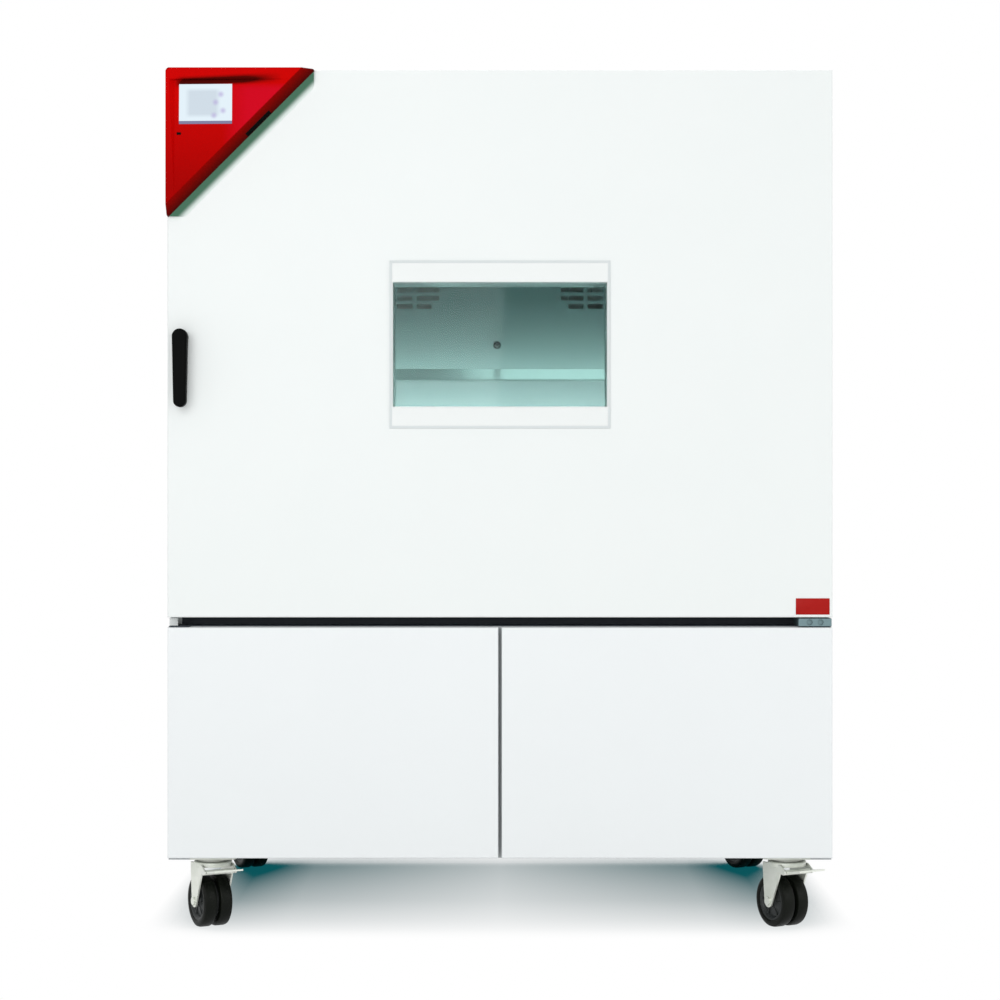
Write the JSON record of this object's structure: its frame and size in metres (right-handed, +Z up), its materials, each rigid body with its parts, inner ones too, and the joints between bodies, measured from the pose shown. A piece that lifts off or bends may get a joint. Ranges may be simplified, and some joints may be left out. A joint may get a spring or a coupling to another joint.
{
  "type": "environmental test chamber",
  "caption": "Climate test chamber on casters: insulated cabinet, hinged front door with window, corner controller, lower service doors.",
  "frame": {"origin": "on the floor below the middle of the chamber's overall box", "axes": "+X to the right seen from the front, +Y to the back, +Z up"},
  "size_m": [1.624, 1.174, 2.04],
  "materials": {
    "frame_paint": "satin",
    "panel_paint": "fine textured powder coat",
    "collar_black": "matt powder coat",
    "stainless": "brushed",
    "insulation": "mineral wool board",
    "fan_metal": "mill finish",
    "motor_black": "gloss",
    "lamp_lens": "frosted",
    "seal_rubber": "matt",
    "port_plastic": "moulded",
    "silicone": "matt",
    "switch_black": "moulded",
    "switch_red": "moulded",
    "brass": "turned",
    "copper": "drawn tube",
    "box_grey": "textured powder coat",
    "boiler_plastic": "translucent moulding",
    "hinge_zinc": "zinc plated",
    "glass": "clear, faint green",
    "controller_red": "satin paint",
    "screen": "lit display",
    "caster_zinc": "bright zinc",
    "tyre": "moulded rubber"
  },
  "bodies": {
    "cabinet": {"base_frame": "frame_paint", "side_panel_left": "panel_paint", "side_panel_right": "panel_paint", "top_panel": "panel_paint", "rear_panel_upper": "panel_paint", "rear_panel_lower": "panel_paint", "front_collar": "collar_black", "chamber_liner": "stainless", "cabinet_insulation": "insulation", "rear_baffle": "stainless", "fan_motors": "motor_black", "evaporator_coil": "fan_metal", "heater_element": "stainless", "temperature_probe": "stainless", "led_lamps": "lamp_lens", "shelf_supports": "stainless", "chamber_gasket": "seal_rubber", "access_port": "port_plastic", "main_switch_base": "switch_black", "interface_panel": "switch_black", "water_fittings": "brass", "compressor": "motor_black", "condenser_coil": "fan_metal", "condenser_shroud": "fan_metal", "refrigerant_pipes": "copper", "electrical_box": "box_grey", "humidifier_boiler": "boiler_plastic", "water_canister": "boiler_plastic", "latch_keeper": "stainless", "hinge_brackets": "hinge_zinc", "caster_plates": "frame_paint"},
    "main_door": {"door_skin": "panel_paint", "door_insulation": "insulation", "door_liner": "stainless", "door_gasket": "seal_rubber", "window_frame": "panel_paint", "window_outer_pane": "glass", "window_inner_panes": "glass", "controller_housing": "controller_red", "controller_screen": "screen"},
    "door_handle": {"handle_lever": "switch_black", "handle_spindle": "stainless"},
    "service_door_left": {"service_door_left": "panel_paint"},
    "service_door_right": {"service_door_right": "panel_paint"},
    "shelf": {"shelf_rack": "stainless"},
    "circulation_fan_left": {"circulation_fan_left": "fan_metal"},
    "circulation_fan_right": {"circulation_fan_right": "fan_metal"},
    "condenser_fan": {"condenser_fan": "switch_black"},
    "port_plug": {"access_port_plug": "silicone"},
    "main_switch_knob": {"main_switch_knob": "switch_red"},
    "caster_fork_front_left": {"caster_fork_front_left": "caster_zinc"},
    "caster_wheel_front_left": {"caster_wheel_front_left": "tyre"},
    "caster_fork_front_right": {"caster_fork_front_right": "caster_zinc"},
    "caster_wheel_front_right": {"caster_wheel_front_right": "tyre"},
    "caster_fork_rear_left": {"caster_fork_rear_left": "caster_zinc"},
    "caster_wheel_rear_left": {"caster_wheel_rear_left": "tyre"},
    "caster_fork_rear_right": {"caster_fork_rear_right": "caster_zinc"},
    "caster_wheel_rear_right": {"caster_wheel_rear_right": "tyre"},
    "brake_pedal_front_left": {"brake_pedal_front_left": "switch_black"},
    "brake_pedal_front_right": {"brake_pedal_front_right": "switch_black"}
  },
  "joints": [
    {"name": "door_hinge", "type": "hinge", "parent": "cabinet", "child": "main_door", "pos_m": [0.75, -0.517, 0.748], "axis": [0, 0, 1], "range_deg": [0, 115]},
    {"name": "handle_turn", "type": "hinge", "parent": "main_door", "child": "door_handle", "pos_m": [-0.751, -0.542, 1.409], "axis": [0, -1, 0], "range_deg": [0, 90]},
    {"name": "service_door_left_hinge", "type": "hinge", "parent": "cabinet", "child": "service_door_left", "pos_m": [-0.775, -0.527, 0.179], "axis": [0, 0, -1], "range_deg": [0, 100]},
    {"name": "service_door_right_hinge", "type": "hinge", "parent": "cabinet", "child": "service_door_right", "pos_m": [0.775, -0.527, 0.179], "axis": [0, 0, 1], "range_deg": [0, 100]},
    {"name": "shelf_slide", "type": "slide", "parent": "cabinet", "child": "shelf", "axis": [0, -1, 0], "range_m": [0, 0.068]},
    {"name": "circulation_fan_left_spin", "type": "hinge", "parent": "cabinet", "child": "circulation_fan_left", "pos_m": [-0.297, 0.232, 1.66], "axis": [0, 1, 0], "continuous": true},
    {"name": "circulation_fan_right_spin", "type": "hinge", "parent": "cabinet", "child": "circulation_fan_right", "pos_m": [0.297, 0.232, 1.66], "axis": [0, 1, 0], "continuous": true},
    {"name": "condenser_fan_spin", "type": "hinge", "parent": "cabinet", "child": "condenser_fan", "pos_m": [-0.33, 0.351, 0.47], "axis": [0, 1, 0], "continuous": true},
    {"name": "port_plug_pull", "type": "slide", "parent": "cabinet", "child": "port_plug", "axis": [-1, 0, 0], "range_m": [0, 0.2]},
    {"name": "main_switch_turn", "type": "hinge", "parent": "cabinet", "child": "main_switch_knob", "pos_m": [0.797, 0.06, 0.56], "axis": [1, 0, 0], "range_deg": [0, 90]},
    {"name": "caster_swivel_front_left", "type": "hinge", "parent": "cabinet", "child": "caster_fork_front_left", "pos_m": [-0.689, -0.446, 0.16], "axis": [0, 0, 1], "continuous": true},
    {"name": "caster_roll_front_left", "type": "hinge", "parent": "caster_fork_front_left", "child": "caster_wheel_front_left", "pos_m": [-0.69839, -0.42834, 0.0625], "axis": [0.8829, 0.4695, 0], "continuous": true},
    {"name": "caster_swivel_front_right", "type": "hinge", "parent": "cabinet", "child": "caster_fork_front_right", "pos_m": [0.689, -0.446, 0.16], "axis": [0, 0, 1], "continuous": true},
    {"name": "caster_roll_front_right", "type": "hinge", "parent": "caster_fork_front_right", "child": "caster_wheel_front_right", "pos_m": [0.67961, -0.42834, 0.0625], "axis": [0.8829, 0.4695, 0], "continuous": true},
    {"name": "caster_swivel_rear_left", "type": "hinge", "parent": "cabinet", "child": "caster_fork_rear_left", "pos_m": [-0.689, 0.451, 0.16], "axis": [0, 0, 1], "continuous": true},
    {"name": "caster_roll_rear_left", "type": "hinge", "parent": "caster_fork_rear_left", "child": "caster_wheel_rear_left", "pos_m": [-0.69839, 0.46866, 0.0625], "axis": [0.8829, 0.4695, 0], "continuous": true},
    {"name": "caster_swivel_rear_right", "type": "hinge", "parent": "cabinet", "child": "caster_fork_rear_right", "pos_m": [0.689, 0.451, 0.16], "axis": [0, 0, 1], "continuous": true},
    {"name": "caster_roll_rear_right", "type": "hinge", "parent": "caster_fork_rear_right", "child": "caster_wheel_rear_right", "pos_m": [0.67961, 0.46866, 0.0625], "axis": [0.8829, 0.4695, 0], "continuous": true},
    {"name": "brake_pedal_front_left_press", "type": "hinge", "parent": "caster_fork_front_left", "child": "brake_pedal_front_left", "pos_m": [-0.66834, -0.48485, 0.1387], "axis": [0.8829, 0.4695, 0], "range_deg": [0, 15]},
    {"name": "brake_pedal_front_right_press", "type": "hinge", "parent": "caster_fork_front_right", "child": "brake_pedal_front_right", "pos_m": [0.70966, -0.48485, 0.1387], "axis": [0.8829, 0.4695, 0], "range_deg": [0, 15]}
  ]
}
